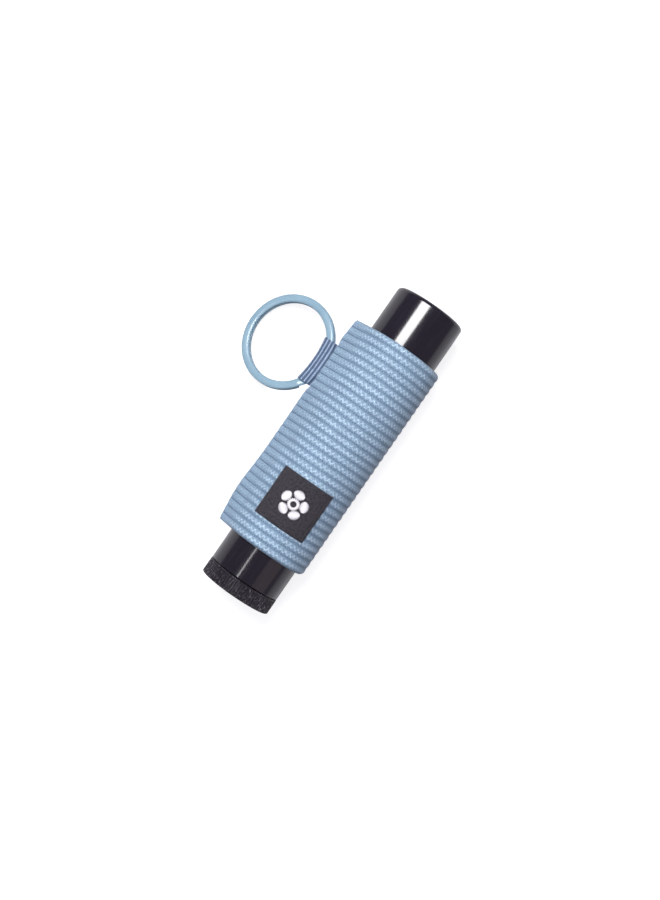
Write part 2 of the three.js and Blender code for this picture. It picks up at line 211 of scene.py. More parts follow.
def moulded_finish():
    """Gloss moulding: faint flow waves, rubbed patches and hairline scuffs along the stick."""
    group, given, result = new_group(
        "moulded_finish",
        [
            ("Colour", "Color", (1, 1, 1, 1)),
            ("Gloss", "Float", 0.2),
            ("Scuffs", "Float", 0.5),
            ("Dust", "Float", 0.0),
        ],
        [("Colour", "Color"), ("Roughness", "Float"), ("Height", "Float")],
    )
    place = node(group, "ShaderNodeTexCoord").outputs["Object"]
    flow = noise(group, stretched(group, place, (0.12, 1, 1)), 260, 3)
    rubbed = noise(group, place, 120, 5)
    scuffed = ramp(group, noise(group, stretched(group, place, (0.03, 1, 1)), 4200, 2), 0.6, 0.75)
    worn = maths(group, "MULTIPLY", scuffed, given["Scuffs"])
    # Pale grey, rougher flecks at random: dust, and on the dial also painted glints standing in
    # for small highlight specks on its ribs.
    dust_and_glint_spots = ramp(group, noise(group, place, 2600, 2), 0.55, 0.8)
    dust_and_glints = maths(group, "MULTIPLY", dust_and_glint_spots, given["Dust"])
    uneven = maths(group, "MULTIPLY_ADD", rubbed, 0.16, given["Gloss"])
    scraped = maths(group, "MULTIPLY_ADD", worn, 0.12, uneven)
    rough = maths(group, "MULTIPLY_ADD", dust_and_glints, 0.4, scraped)
    dulled = maths(group, "MULTIPLY_ADD", worn, 0.06, dust_and_glints)
    paler = mixed(group, dulled, given["Colour"], (0.5, 0.48, 0.5, 1))
    group.links.new(paler, result.inputs["Colour"])
    group.links.new(rough, result.inputs["Roughness"])
    group.links.new(maths(group, "MULTIPLY_ADD", worn, -0.1, flow), result.inputs["Height"])
    return group


moulded = moulded_finish()


def moulding(name, colour, gloss, scuffs, dust_and_glints, depth, **sockets):
    """A moulded plastic whose colour, gloss and surface come from the moulded finish."""
    material = new_material(name, colour, gloss, **sockets)
    values = {"Colour": (*colour, 1), "Gloss": gloss, "Scuffs": scuffs, "Dust": dust_and_glints}
    finish = node(material.node_tree, "ShaderNodeGroup", node_tree=moulded)
    for title, value in values.items():
        finish.inputs[title].default_value = value
    finished = [finish.outputs[title] for title in ("Colour", "Roughness", "Height")]
    return surface(material, *finished, 0.5, depth)


BLACK = (0.006, 0.004, 0.010)
MOULD_TEXTURE = 0.02 * MM
coat = {"Coat_Weight": 1, "Coat_Roughness": 0.11}
black_gloss = moulding("black_gloss", BLACK, 0.1, 0.6, 0.01, MOULD_TEXTURE, **coat)
shoulder = cap_low[0] - CAP_SEAT_GAP
rib_end = barrel_high[0] - GUIDE_RIB_SETBACK
barrel_shape = turned(
    [
        (barrel_low[0], BARREL_RADIUS),
        (shoulder, BARREL_RADIUS),
        (shoulder, NECK_RADIUS),
        (barrel_high[0], NECK_RADIUS),
        (barrel_high[0], BORE_RADIUS),
        (rib_end, BORE_RADIUS),
        (FLOOR_TOP, BORE_RADIUS),
        (FLOOR_TOP, FLOOR_HOLE),
        (FLOOR_BOTTOM, FLOOR_HOLE),
        (FLOOR_BOTTOM, SKIRT_RADIUS),
        (barrel_low[0], SKIRT_RADIUS),
    ]
)


def around(point):
    """The angle of a point about the stick's axis, from straight up towards +Y."""
    return math.atan2(point.y - AXIS_Y, point.z - AXIS_Z)


def off_axis(point):
    return math.hypot(point.y - AXIS_Y, point.z - AXIS_Z)


def in_guide_rib(face):
    centre = face.calc_center_median()
    in_bore = abs(off_axis(centre) - BORE_RADIUS) < 0.05 * MM and centre.x < rib_end
    from_rib = math.remainder(around(centre), math.pi / 2)
    return in_bore and centre.x > FLOOR_TOP + 0.01 * MM and abs(from_rib) < GUIDE_RIB_SPREAD


rib_faces = [face for face in barrel_shape.faces if in_guide_rib(face)]
raised = bmesh.ops.extrude_face_region(barrel_shape, geom=rib_faces)["geom"]
bmesh.ops.delete(barrel_shape, geom=rib_faces, context="FACES_ONLY")
inward = (BORE_RADIUS - GUIDE_RIB_HEIGHT) / BORE_RADIUS
bmesh.ops.scale(
    barrel_shape,
    vec=(1, inward, inward),
    verts=[vert for vert in raised if isinstance(vert, bmesh.types.BMVert)],
    space=Matrix.Translation((0, -AXIS_Y, -AXIS_Z)),
)
bmesh.ops.recalc_face_normals(barrel_shape, faces=barrel_shape.faces)
barrel = piece("barrel_moulding", rounded(barrel_shape, 0.2 * MM), black_gloss)
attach(barrel, "stick")
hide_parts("barrel")


# ---- Cap ----
# A plain black cup of the same glossy plastic, pushed over the neck. Its top edge is
# rounded and its mouth is left nearly sharp.
CAP_TOP_THICKNESS = 1.2 * MM
CAP_EDGE_RADIUS = 0.9 * MM
CAP_EDGE_POINTS = 8
cap_inner = CAP_RADIUS - CAP_WALL
cap_edge = []
for index in range(CAP_EDGE_POINTS + 1):
    turn = math.pi / 2 * index / CAP_EDGE_POINTS
    along = cap_high[0] - CAP_EDGE_RADIUS * (1 - math.sin(turn))
    cap_edge.append((along, CAP_RADIUS - CAP_EDGE_RADIUS * (1 - math.cos(turn))))
cap_shape = turned(
    [
        (cap_high[0] - CAP_TOP_THICKNESS, 0),
        (cap_high[0] - CAP_TOP_THICKNESS, cap_inner),
        (cap_low[0], cap_inner),
        (cap_low[0], CAP_RADIUS),
        *cap_edge,
        (cap_high[0], 0),
    ],
    closed=False,
)
cap = piece("cap_moulding", rounded(cap_shape, 0.15 * MM), black_gloss)
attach(cap, "cap")
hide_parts("cap")


# ---- Dial and lifting screw ----
# One black moulding: a dial with fine grip ribs, a hub that snaps through the barrel's
# floor behind a collar, and a screw with two lobes that climbs 6 mm a turn.
dial_low, dial_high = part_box("dial_spindle")
DIAL_RADIUS = (dial_high[1] - dial_low[1]) / 2
DIAL_HEIGHT = 3.4 * MM
DIAL_RIBS = 84
DIAL_STEPS_PER_RIB = 4
DIAL_RIB_DEPTH = 0.24 * MM
DIAL_COLLAR = 0.22 * MM
DIAL_RECESS = 0.45 * MM
HUB_RADIUS = 2.7 * MM
COLLAR_THICKNESS = 0.9 * MM
COLLAR_OVERLAP = 0.35 * MM
COLLAR_GAP = 0.15 * MM
SCREW_LEAD = 6 * MM
SCREW_CORE = 1.5 * MM
SCREW_LOBE = 0.85 * MM
SCREW_POINTS = 32
SCREW_STEPS_PER_TURN = 40
elevator_low, elevator_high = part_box("elevator_cup")
dial_top = dial_low[0] + DIAL_HEIGHT
collar_bottom = FLOOR_TOP + COLLAR_GAP
collar_top = collar_bottom + COLLAR_THICKNESS
dial_shape = turned(
    [
        (dial_low[0] + DIAL_RECESS, 0),
        (dial_low[0] + DIAL_RECESS, DIAL_RADIUS - 1.5 * MM),
        (dial_low[0], DIAL_RADIUS - 1.7 * MM),
        (dial_low[0], DIAL_RADIUS - 0.18 * MM),
        (dial_low[0] + 0.15 * MM, DIAL_RADIUS),
        (dial_top - DIAL_COLLAR - 0.25 * MM, DIAL_RADIUS),
        (dial_top - DIAL_COLLAR, DIAL_RADIUS),
        (dial_top, DIAL_RADIUS),
        (dial_top, HUB_RADIUS),
        (collar_bottom, HUB_RADIUS),
        (collar_bottom, FLOOR_HOLE + COLLAR_OVERLAP),
        (collar_top, FLOOR_HOLE),
        (collar_top, 0),
    ],
    steps=DIAL_RIBS * DIAL_STEPS_PER_RIB,
    closed=False,
)
rib_floor_end = dial_top - DIAL_COLLAR - 0.1 * MM
for vert in dial_shape.verts:
    step = round(around(vert.co) / (2 * math.pi) * DIAL_RIBS * DIAL_STEPS_PER_RIB)
    on_rim = off_axis(vert.co) > DIAL_RADIUS - 0.3 * MM
    if on_rim and vert.co.x < rib_floor_end and step % DIAL_STEPS_PER_RIB in (0, 1):
        sunk = (off_axis(vert.co) - DIAL_RIB_DEPTH) / off_axis(vert.co)
        vert.co.y = AXIS_Y + (vert.co.y - AXIS_Y) * sunk
        vert.co.z = AXIS_Z + (vert.co.z - AXIS_Z) * sunk


def lobed(angle, extra=0.0):
    """The radius of the screw's two-lobed section at an angle."""
    return SCREW_CORE + SCREW_LOBE * max(0.0, math.cos(2 * angle)) + extra


def twisted(shape, start, end, extra=0.0):
    """Winds the screw's section up the stick, a lead to each turn, and closes its ends."""
    ring = bmesh.ops.create_circle(shape, cap_ends=True, segments=SCREW_POINTS, radius=1)["verts"]
    first_turn = 2 * math.pi * (start - elevator_low[0]) / SCREW_LEAD
    for vert in ring:
        angle = math.atan2(vert.co.y, vert.co.x)
        radius = lobed(angle, extra)
        place = angle + first_turn
        vert.co = (start, AXIS_Y + radius * math.cos(place), AXIS_Z + radius * math.sin(place))
    turns = (end - start) / SCREW_LEAD
    steps = math.ceil(turns * SCREW_STEPS_PER_TURN)
    face = ring[0].link_faces[0]
    bmesh.ops.spin(
        shape,
        geom=[face, *face.edges, *ring],
        cent=(0, AXIS_Y, AXIS_Z),
        axis=(1, 0, 0),
        dvec=((end - start) / steps, 0, 0),
        angle=2 * math.pi * turns,
        steps=steps,
    )


rounded(dial_shape, 0.08 * MM, segments=1, sharper_than=75)
twisted(dial_shape, collar_top - 0.1 * MM, dial_high[0])
bmesh.ops.recalc_face_normals(dial_shape, faces=dial_shape.faces)
DIAL_BLACK = (0.018, 0.015, 0.022)
# Its pale flecks are partly dust and partly painted glints.
black_dial = moulding("black_dial", DIAL_BLACK, 0.2, 1.0, 0.4, MOULD_TEXTURE)
dial = piece("dial_and_screw", dial_shape, black_dial, smooth_angle=30)
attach(dial, "dial")
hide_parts("dial_spindle")


# ---- Nut ----
# The white cup that lifts the balm. Its bore follows the screw, and four notches down its
# side ride the barrel's ribs. It keeps its exact engineering shape.
elevator = frame["nodes"]["elevator_cup"]
WHITE = (0.81, 0.79, 0.74)
milky = {"Subsurface_Weight": 0.25, "Subsurface_Scale": 1 * MM}
white_moulding = moulding("white_moulding", WHITE, 0.32, 0.4, 0, MOULD_TEXTURE, **milky)
elevator.data.materials.clear()
elevator.data.materials.append(white_moulding)


# ---- Balm ----
# A part-used column of cream wax, poured round the screw and worn to a soft dome with a
# slanting flat where it has been rubbed on.
balm_low, balm_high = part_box("balm")
BALM_GAP = 0.12 * MM
BALM_RADIUS = BORE_RADIUS - GUIDE_RIB_HEIGHT - BALM_GAP
BALM_BORE = SCREW_CORE + SCREW_LOBE + 0.28 * MM
BALM_DOME = 1.9 * MM
BALM_DOME_POINTS = 10
BALM_SLANT = 0.16
CUP_INNER = BORE_RADIUS - BALM_GAP - 0.6 * MM
NUT_RADIUS = BALM_BORE + 0.8 * MM
balm_seat = elevator_high[0] + BALM_GAP
balm_inner = NUT_RADIUS + BALM_GAP
balm_outer = CUP_INNER - BALM_GAP
dome = []
for index in range(BALM_DOME_POINTS + 1):
    turn = math.pi / 2 * index / BALM_DOME_POINTS
    along = balm_high[0] - BALM_DOME * (1 - math.sin(turn))
    dome.append((along, BALM_RADIUS - BALM_DOME * (1 - math.cos(turn))))
balm_shape = turned(
    [
        (balm_low[0], balm_outer),
        (balm_seat, balm_outer),
        (balm_seat, BALM_RADIUS),
        *dome,
        (balm_high[0], BALM_BORE + 0.6 * MM),
        (balm_high[0] - 0.4 * MM, BALM_BORE),
        (balm_seat, BALM_BORE),
        (balm_seat, balm_inner),
        (balm_low[0], balm_inner),
    ],
    steps=96,
)
for vert in balm_shape.verts:
    if vert.co.x > balm_high[0] - 2.5 * MM:
        worn_to = balm_high[0] - 0.9 * MM - BALM_SLANT * (vert.co.z - AXIS_Z)
        vert.co.x = min(vert.co.x, worn_to) * 0.7 + vert.co.x * 0.3


def wax():
    """Cream wax: milky, faintly mottled, with smear marks on its rubbed top."""
    material = new_material(
        "balm_wax",
        (0.88, 0.79, 0.58),
        0.42,
        Subsurface_Weight=0.5,
        Subsurface_Scale=0.002,
        Coat_Weight=0.15,
    )
    tree = material.node_tree
    place = node(tree, "ShaderNodeTexCoord").outputs["Object"]
    mottle = noise(tree, place, 500, 4)
    smear = noise(tree, stretched(tree, place, (1, 0.15, 1)), 1500, 3)
    colour = mixed(tree, mottle, (0.84, 0.73, 0.5, 1), (0.92, 0.85, 0.66, 1))
    roughness = maths(tree, "MULTIPLY_ADD", mottle, 0.2, 0.32)
    return surface(material, colour, roughness, smear, 0.6, 0.08 * MM)


balm = piece("balm_column", balm_shape, wax())
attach(balm, "elevator")
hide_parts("balm")


# ---- Elastic sleeve ----
# One band of ribbed woven elastic, 50 mm wide, stretched round the stick. Its two ends are
# turned in and sewn to each other along a crease on the key ring's side, so that two soft
# lips meet there. Each rib is a round cord under rows of slanting yarn.
sleeve_low, sleeve_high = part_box("elastic_sleeve")
tab_hinge = next(j for j in frame["record"]["behaviour"]["joints"] if j["name"] == "tab_flop")
TAB_X, HINGE_Y, HINGE_Z = tab_hinge["pos_m"]
TAB_HALF_WIDTH = 5.1 * MM
SLEEVE_LENGTH = sleeve_high[0] - sleeve_low[0]
BAND_THICKNESS = 1.3 * MM
BAND_RADIUS = 8.82 * MM
RIB_COUNT = 30
RIB_POINTS = 6
RIB_DEPTH = 0.12 * MM
RIB_WANDER = 0.07 * MM
ZIGZAG_PITCH = 1.03 * MM
ZIGZAG_STEPS = 8
ZIGZAG_MIDDLE = 0.56
ZIGZAG_SWING = 0.19
YARN_HALF_WIDTH = 0.17
YARN_DEPTH = 0.09 * MM
ZIGZAGS_TO_PLAIN = 4.5
LINING_POINTS = 14
SELVEDGE_WIDTH = 0.55 * MM
SELVEDGE_DROP = 0.42 * MM
WITHIN_SLEEVE = 0.998
LIP_Y = 11.13 * MM
LIP_Z = 0.6 * MM
LIP_RADIUS = 0.29 * MM
LIP_THICKNESS = 0.56 * MM
ALLOWANCE = 1.9 * MM
LIP_PULL = 0.3 * MM
LIP_OPENING = 0.42 * MM
LIP_OVER_WIRE = 0.92 * MM
LIP_CLOSES_IN = 1.6 * MM
RESTING_HEIGHT = 0.02 * MM
rib_pitch = SLEEVE_LENGTH / RIB_COUNT


def smooth_step(value, start, end):
    part = min(1.0, max(0.0, (value - start) / (end - start)))
    return part * part * (3 - 2 * part)


class BandPath:
    """The middle line of the band round the stick, in (y, z) from the stick's axis.

    It starts inside the seam, turns back round the upper lip, goes over the top, round and
    under the stick, and round the lower lip into the seam again."""

    def __init__(self, lip_y, lip_z):
        self.lip = Vector((lip_y, lip_z))
        reach = self.lip.length
        lift = math.atan2(lip_z, lip_y)
        self.tangent = lift + math.acos((BAND_RADIUS - LIP_RADIUS) / reach)
        self.straight = math.sqrt(reach**2 - (BAND_RADIUS - LIP_RADIUS) ** 2)
        self.curl = LIP_RADIUS * (math.pi / 2 + self.tangent)
        self.round = BAND_RADIUS * 2 * (math.pi - self.tangent)
        self.length = 2 * (ALLOWANCE + self.curl + self.straight) + self.round

    def upper(self, s):
        """Place and outward direction on the upper half, s from the band's end."""
        if s < ALLOWANCE:
            place = Vector((self.lip.x - ALLOWANCE + s, self.lip.y - LIP_RADIUS))
            return place, Vector((0, -1))
        s -= ALLOWANCE
        if s < self.curl:
            angle = s / LIP_RADIUS - math.pi / 2
            out = Vector((math.cos(angle), math.sin(angle)))
            return self.lip + out * LIP_RADIUS, out
        s -= self.curl
        out = Vector((math.cos(self.tangent), math.sin(self.tangent)))
        if s < self.straight:
            return self.lip + out * LIP_RADIUS + Vector((-out.y, out.x)) * s, out
        angle = self.tangent + (s - self.straight) / BAND_RADIUS
        out = Vector((math.cos(angle), math.sin(angle)))
        return out * BAND_RADIUS, out

    def at(self, s):
        if s <= self.length / 2:
            return self.upper(s)
        place, out = self.upper(self.length - s)
        return Vector((place.x, -place.y)), Vector((out.x, -out.y))

    def thickness(self, s):
        """Full round the stick, pressed thin at the lips and in the seam."""
        from_end = min(s, self.length - s)
        tight = ALLOWANCE + self.curl
        grown = smooth_step(from_end, tight, tight + self.straight)
        return LIP_THICKNESS + (BAND_THICKNESS - LIP_THICKNESS) * grown


plain_path = BandPath(LIP_Y, LIP_Z)
BAND_LENGTH = plain_path.length
band_steps = round(BAND_LENGTH / ZIGZAG_PITCH) * ZIGZAG_STEPS


def rib_height(x):
    """How far the ribbed face stands below the crown of its ribs, from 0 to 1."""
    phase = (x / rib_pitch) % 1.0
    return 1 - abs(math.sin(math.pi * phase)) ** 0.55


def band_outline():
    """The band's section across its width: a ribbed face, rounded selvedges and a lining."""
    half = SLEEVE_LENGTH / 2
    last = RIB_COUNT * RIB_POINTS
    points = []
    for index in range(last + 1):
        x = -half + rib_pitch * index / RIB_POINTS
        edge = min(1.0, (half - abs(x)) / SELVEDGE_WIDTH)
        drop = RIB_DEPTH * rib_height(x + half) if 0 < index < last else 0
        crown = BAND_THICKNESS / 2 - drop - SELVEDGE_DROP * (1 - edge) ** 2
        points.append((x * WITHIN_SLEEVE, crown))
    for index in range(LINING_POINTS + 1):
        x = half - SLEEVE_LENGTH * index / LINING_POINTS
        edge = 0.35 * MM if index in (0, LINING_POINTS) else 0
        points.append((x * WITHIN_SLEEVE, -BAND_THICKNESS / 2 + edge))
    return points


band_shape = bmesh.new()
outline = [band_shape.verts.new((x, 0, height)) for x, height in band_outline()]
band_shape.edges.new((outline[-1], outline[0]))
for first, second in zip(outline, outline[1:]):
    band_shape.edges.new((first, second))
bmesh.ops.spin(
    band_shape,
    geom=band_shape.verts[:] + band_shape.edges[:],
    axis=(0, 1, 0),
    dvec=(0, BAND_LENGTH / band_steps, 0),
    angle=0,
    steps=band_steps,
)
open_edges = [edge for edge in band_shape.edges if edge.is_boundary]
bmesh.ops.holes_fill(band_shape, edges=open_edges)
bmesh.ops.recalc_face_normals(band_shape, faces=band_shape.faces)
weave_map = band_shape.loops.layers.uv.new("weave")
for face in band_shape.faces:
    for loop in face.loops:
        from_rim = loop.vert.co.x + SLEEVE_LENGTH / 2
        loop[weave_map].uv = (loop.vert.co.y / ZIGZAG_PITCH, from_rim / rib_pitch)


def uneven(rib, yarn):
    """A fixed number from 0 to 1 for each yarn, so that no two stand alike."""
    return (math.sin(rib * 12.99 + yarn * 78.23) * 4375.85) % 1.0


def yarn_relief(x, s):
    """The pale yarns: on each rib they lean to one side and the other, in a zigzag."""
    ribs = (x + SLEEVE_LENGTH / 2) / rib_pitch
    zigzags = s / ZIGZAG_PITCH
    swing = 4 * abs(zigzags % 1.0 - 0.5) - 1
    off = (ribs % 1.0 - ZIGZAG_MIDDLE - ZIGZAG_SWING * swing) / YARN_HALF_WIDTH
    stands = 0.6 + 0.4 * uneven(math.floor(ribs), math.floor(2 * zigzags))
    return YARN_DEPTH * stands * math.exp(-off * off)


def wander(x, s):
    """How far a rib strays to the side along its way."""
    stray = math.sin(s / (7.1 * MM) + x / (4.3 * MM)) + math.sin(s / (3.3 * MM) - x / (9 * MM))
    return RIB_WANDER * stray * (1 - abs(x) / SLEEVE_LENGTH)


def side_bulge(x):
    """The crease side swells a little near the dial end and draws in at both rims."""
    swell = 0.35 * MM * math.exp(-(((x + 16.5 * MM) / (5 * MM)) ** 2))
    draw = 0.3 * MM * smooth_step(abs(x), 19 * MM, 25 * MM)
    return swell - draw


@functools.cache
def path_at(x):
    """The band's middle line at a place along the stick: its lips part round the tab."""
    from_tab = abs(x - TAB_X)
    parted = 1 - smooth_step(from_tab, TAB_HALF_WIDTH, TAB_HALF_WIDTH + LIP_CLOSES_IN)
    over_wire = max(0.0, 1 - (from_tab / (TAB_HALF_WIDTH + 0.3 * MM)) ** 2)
    lip_y = LIP_Y + side_bulge(x) - LIP_PULL * parted
    return BandPath(lip_y, LIP_Z + LIP_OPENING * parted + LIP_OVER_WIRE * over_wire)


def bend(vert):
    """Takes a point of the flat band to its place round the stick."""
    x, s, height = vert.co
    path = path_at(x)
    if height > 0:
        height += yarn_relief(x, s)
    rim = smooth_step(abs(x), SLEEVE_LENGTH / 2 - 1.6 * MM, SLEEVE_LENGTH / 2)
    s *= path.length / BAND_LENGTH
    place, out = path.at(s)
    place += out * (height * path.thickness(s) / BAND_THICKNESS - 0.07 * MM * rim)
    z = AXIS_Z + place.y
    z = RESTING_HEIGHT + max(z - RESTING_HEIGHT, 0.12 * (z - RESTING_HEIGHT))
    vert.co = (x + wander(x, s), AXIS_Y + place.x, max(z, 0.0))


for vert in band_shape.verts:
    bend(vert)


def eased(tree, value, start, end):
    """1 up to start, falling smoothly to 0 at end."""
    inputs = {"Value": value, "From Min": start, "From Max": end, "To Min": 1, "To Max": 0}
    return node(tree, "ShaderNodeMapRange", inputs, interpolation_type="SMOOTHSTEP").outputs[0]


def yarn_finish():
    """Ribbed weave on a map whose u counts zigzags and v counts ribs.

    Pale yarns zigzag along each rib, over darker ones that show beside them; the pale line on each
    crest is partly a painted highlight. The grooves between ribs and a row of dark specks below
    each pale line are painted shade."""
    group, given, result = new_group(
        "yarn_finish",
        [
            ("Yarn", "Color", (0.3, 0.4, 0.5, 1)),
            ("Pale yarn", "Color", (0.5, 0.6, 0.7, 1)),
            ("Groove", "Color", (0.1, 0.2, 0.3, 1)),
            ("Pale share", "Float", 0.5),
            ("Swing", "Float", 0.2),
            ("Plain until", "Float", 0.0),
        ],
        [("Colour", "Color"), ("Height", "Float"), ("Roughness", "Float")],
    )
    place = node(group, "ShaderNodeUVMap", uv_map="weave").outputs[0]
    axes = node(group, "ShaderNodeSeparateXYZ", {"Vector": place}).outputs
    fibre = noise(group, place, 3.4, 4)
    fleck = ramp(group, noise(group, place, 5.5, 2), 0.3, 0.7)
    patch = noise(group, place, 0.4, 2)
    plain_end = maths(group, "ADD", given["Plain until"], ZIGZAGS_TO_PLAIN)
    plain = eased(group, axes["X"], given["Plain until"], plain_end)
    kept = maths(group, "MULTIPLY_ADD", plain, -0.75, 1.0)

    across = maths(group, "FRACT", axes["Y"])
    from_turn = maths(group, "SUBTRACT", maths(group, "FRACT", axes["X"]), 0.5)
    zigzag = maths(group, "MULTIPLY_ADD", maths(group, "ABSOLUTE", from_turn), 4.0, -1.0)
    swing = maths(group, "MULTIPLY", zigzag, given["Swing"])
    line = maths(group, "ADD", swing, ZIGZAG_MIDDLE)
    off_line = maths(group, "ABSOLUTE", maths(group, "SUBTRACT", across, line))
    # The pale line lies on each rib's crest: pale yarn, and partly a painted highlight on the
    # crest.
    pale_and_highlight = eased(group, off_line, 0.03, 0.27)
    half_zigzag = maths(group, "FLOOR", maths(group, "MULTIPLY", axes["X"], 2.0))
    yarn = {"X": half_zigzag, "Y": maths(group, "FLOOR", axes["Y"])}
    which = node(group, "ShaderNodeCombineXYZ", yarn).outputs[0]
    toss = node(group, "ShaderNodeTexWhiteNoise", {"Vector": which}, noise_dimensions="2D")
    own = maths(group, "MULTIPLY", toss.outputs["Value"], 0.4)
    chance = maths(group, "MULTIPLY_ADD", fleck, 1.1, own)
    on_line = maths(group, "MULTIPLY", maths(group, "MULTIPLY", pale_and_highlight, chance), kept)
    stray_share = maths(group, "MULTIPLY_ADD", plain, 0.25, 0.18)
    shown = maths(group, "MULTIPLY_ADD", fleck, stray_share, on_line)
    shown = maths(group, "MULTIPLY", shown, given["Pale share"])
    lit = mixed(group, shown, given["Yarn"], given["Pale yarn"])

    # Painted shade: a row of dark specks below each pale line stands for the shadows of the yarn
    # loops, and the groove colour darkens the hollow between ribs, also used for the bump.
    from_row = maths(group, "ABSOLUTE", maths(group, "SUBTRACT", across, 0.14))
    loop_shadow_row = eased(group, from_row, 0.04, 0.24)
    loops = maths(group, "COSINE", maths(group, "MULTIPLY", axes["X"], 4 * math.pi))
    loop_shadow_specks = maths(group, "MULTIPLY", loop_shadow_row, maths(group, "MULTIPLY_ADD", loops, 0.32, 0.4))
    from_groove = maths(group, "MULTIPLY", maths(group, "PINGPONG", axes["Y"], 0.5), 2.0)
    groove_shade = eased(group, from_groove, 0.02, 0.2)
    crease = maths(group, "MULTIPLY", groove_shade, maths(group, "MULTIPLY_ADD", plain, 0.65, 0.35))
    hollow_and_shade = maths(group, "MAXIMUM", maths(group, "MULTIPLY", loop_shadow_specks, kept), crease)
    shade_depth = maths(group, "MULTIPLY", hollow_and_shade, maths(group, "MULTIPLY_ADD", fleck, -0.7, 1.3))
    shaded = mixed(group, shade_depth, lit, given["Groove"])
    patchy = maths(group, "MULTIPLY_ADD", patch, 0.3, 0.6)
    bright = maths(group, "MULTIPLY_ADD", fleck, 0.42, patchy)
    tone = node(group, "ShaderNodeHueSaturation", {"Color": shaded, "Value": bright}).outputs[0]

    ply_turn = maths(group, "MULTIPLY_ADD", axes["X"], 5.0, maths(group, "MULTIPLY", across, 4.0))
    plies = maths(group, "COSINE", maths(group, "MULTIPLY", ply_turn, 2 * math.pi))
    raised = maths(group, "SUBTRACT", maths(group, "ADD", pale_and_highlight, fibre), hollow_and_shade)
    group.links.new(tone, result.inputs["Colour"])
    group.links.new(maths(group, "MULTIPLY_ADD", plies, 0.2, raised), result.inputs["Height"])
    group.links.new(maths(group, "MULTIPLY_ADD", fibre, 0.25, 0.6), result.inputs["Roughness"])
    return group


yarns = yarn_finish()


def woven(name, values, depth, **sockets):
    """A ribbed woven cloth with its own yarns, given as the yarn finish's inputs."""
    material = new_material(name, values["Yarn"][:3], 0.75, **sockets)
    finish = node(material.node_tree, "ShaderNodeGroup", node_tree=yarns)
    for title, value in values.items():
        finish.inputs[title].default_value = value
    finished = [finish.outputs[title] for title in ("Colour", "Roughness", "Height")]
    return surface(material, *finished, 0.6, depth)


blue_elastic = woven(
    "blue_elastic",
    {
        "Yarn": (0.2, 0.31, 0.44, 1),
        # Pale yarn, partly a painted highlight on the rib crests.
        "Pale yarn": (0.56, 0.72, 0.86, 1),
        # Painted shade in the grooves between the ribs.
        "Groove": (0.06, 0.11, 0.19, 1),
        "Pale share": 0.66,
        "Swing": ZIGZAG_SWING,
        "Plain until": 5.0,
    },
    0.06 * MM,
    Sheen_Weight=0.25,
    Sheen_Roughness=0.4,
)
sleeve = piece("elastic_band", band_shape, blue_elastic, smooth_angle=80)
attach(sleeve, "sleeve")
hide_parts("elastic_sleeve")


# ---- Seam thread ----
# Blue polyester thread that whips the band's two turned-in ends together, inside the crease
# and just clear of the stick.
THREAD_RADIUS = 0.13 * MM
WHIP_PITCH = 1.25 * MM
WHIP_POINTS = 8
whip_middle = LIP_Y - ALLOWANCE + 0.12 * MM
whip_reach = 0.6 * MM
whip_count = int((SLEEVE_LENGTH - 3 * MM) / WHIP_PITCH)
thread_line = bpy.data.curves.new("seam_stitching", "CURVE")
thread_line.dimensions = "3D"
thread_line.bevel_depth = THREAD_RADIUS
thread_line.bevel_resolution = 2
thread_line.use_fill_caps = True
whipping = thread_line.splines.new("POLY")
whipping.points.add(whip_count * WHIP_POINTS)
for index, point in enumerate(whipping.points):
    turn = 2 * math.pi * index / WHIP_POINTS
    x = (index / WHIP_POINTS - whip_count / 2) * WHIP_PITCH
    y = AXIS_Y + whip_middle + whip_reach * (0.25 - 0.75 * math.cos(turn))
    point.co = (x, y, AXIS_Z + 0.86 * whip_reach * math.sin(turn), 1)
blue_thread = new_material("blue_thread", (0.19, 0.3, 0.43), 0.7, Sheen_Weight=0.3)
thread_line.materials.append(blue_thread)
seam_thread = bpy.data.objects.new("seam_stitching", thread_line)
bpy.context.scene.collection.objects.link(seam_thread)
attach(seam_thread, "sleeve")
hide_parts("side_seam_thread")


# ---- Label ----
# A square of fine black label tape with its edges folded under, sewn on top of the sleeve
# near the dial end.
label_low, label_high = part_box("label_patch")
LABEL_X = (label_low[0] + label_high[0]) / 2
LABEL_LENGTH = label_high[0] - label_low[0]
LABEL_WIDTH = 12.2 * MM
LABEL_THICKNESS = 0.42 * MM
LABEL_BASE = 9.47 * MM
LABEL_TURN = math.radians(2)
LABEL_STEPS = 64
LABEL_THREADS = 5.5
FOLD_WIDTH = 1.5 * MM
STITCH_INSET = 0.75 * MM


def onto_sleeve(shape, base):
    """Bends a flat shape, with its height in z, round the top of the sleeve."""
    for vert in shape.verts:
        angle = vert.co.y / LABEL_BASE + LABEL_TURN
        radius = base + vert.co.z
        y, z = radius * math.sin(angle), radius * math.cos(angle)
        vert.co = (LABEL_X + vert.co.x, AXIS_Y + y, AXIS_Z + z)
    bmesh.ops.recalc_face_normals(shape, faces=shape.faces)


def label_surface(x, y):
    """The height of the label's face: flat, fuller over its folds, pulled down by stitches."""
    inside_x = LABEL_LENGTH / 2 - abs(x)
    inside_y = LABEL_WIDTH / 2 - abs(y)
    inside = min(inside_x, inside_y)
    fold = 0.08 * MM * (1 - smooth_step(inside, FOLD_WIDTH - 0.3 * MM, FOLD_WIDTH + 0.3 * MM))
    sewn = 0.1 * MM * math.exp(-(((inside - STITCH_INSET) / (0.22 * MM)) ** 2))
    edge = 0.22 * MM * (1 - smooth_step(inside, 0, 0.3 * MM))
    return fold - sewn - edge


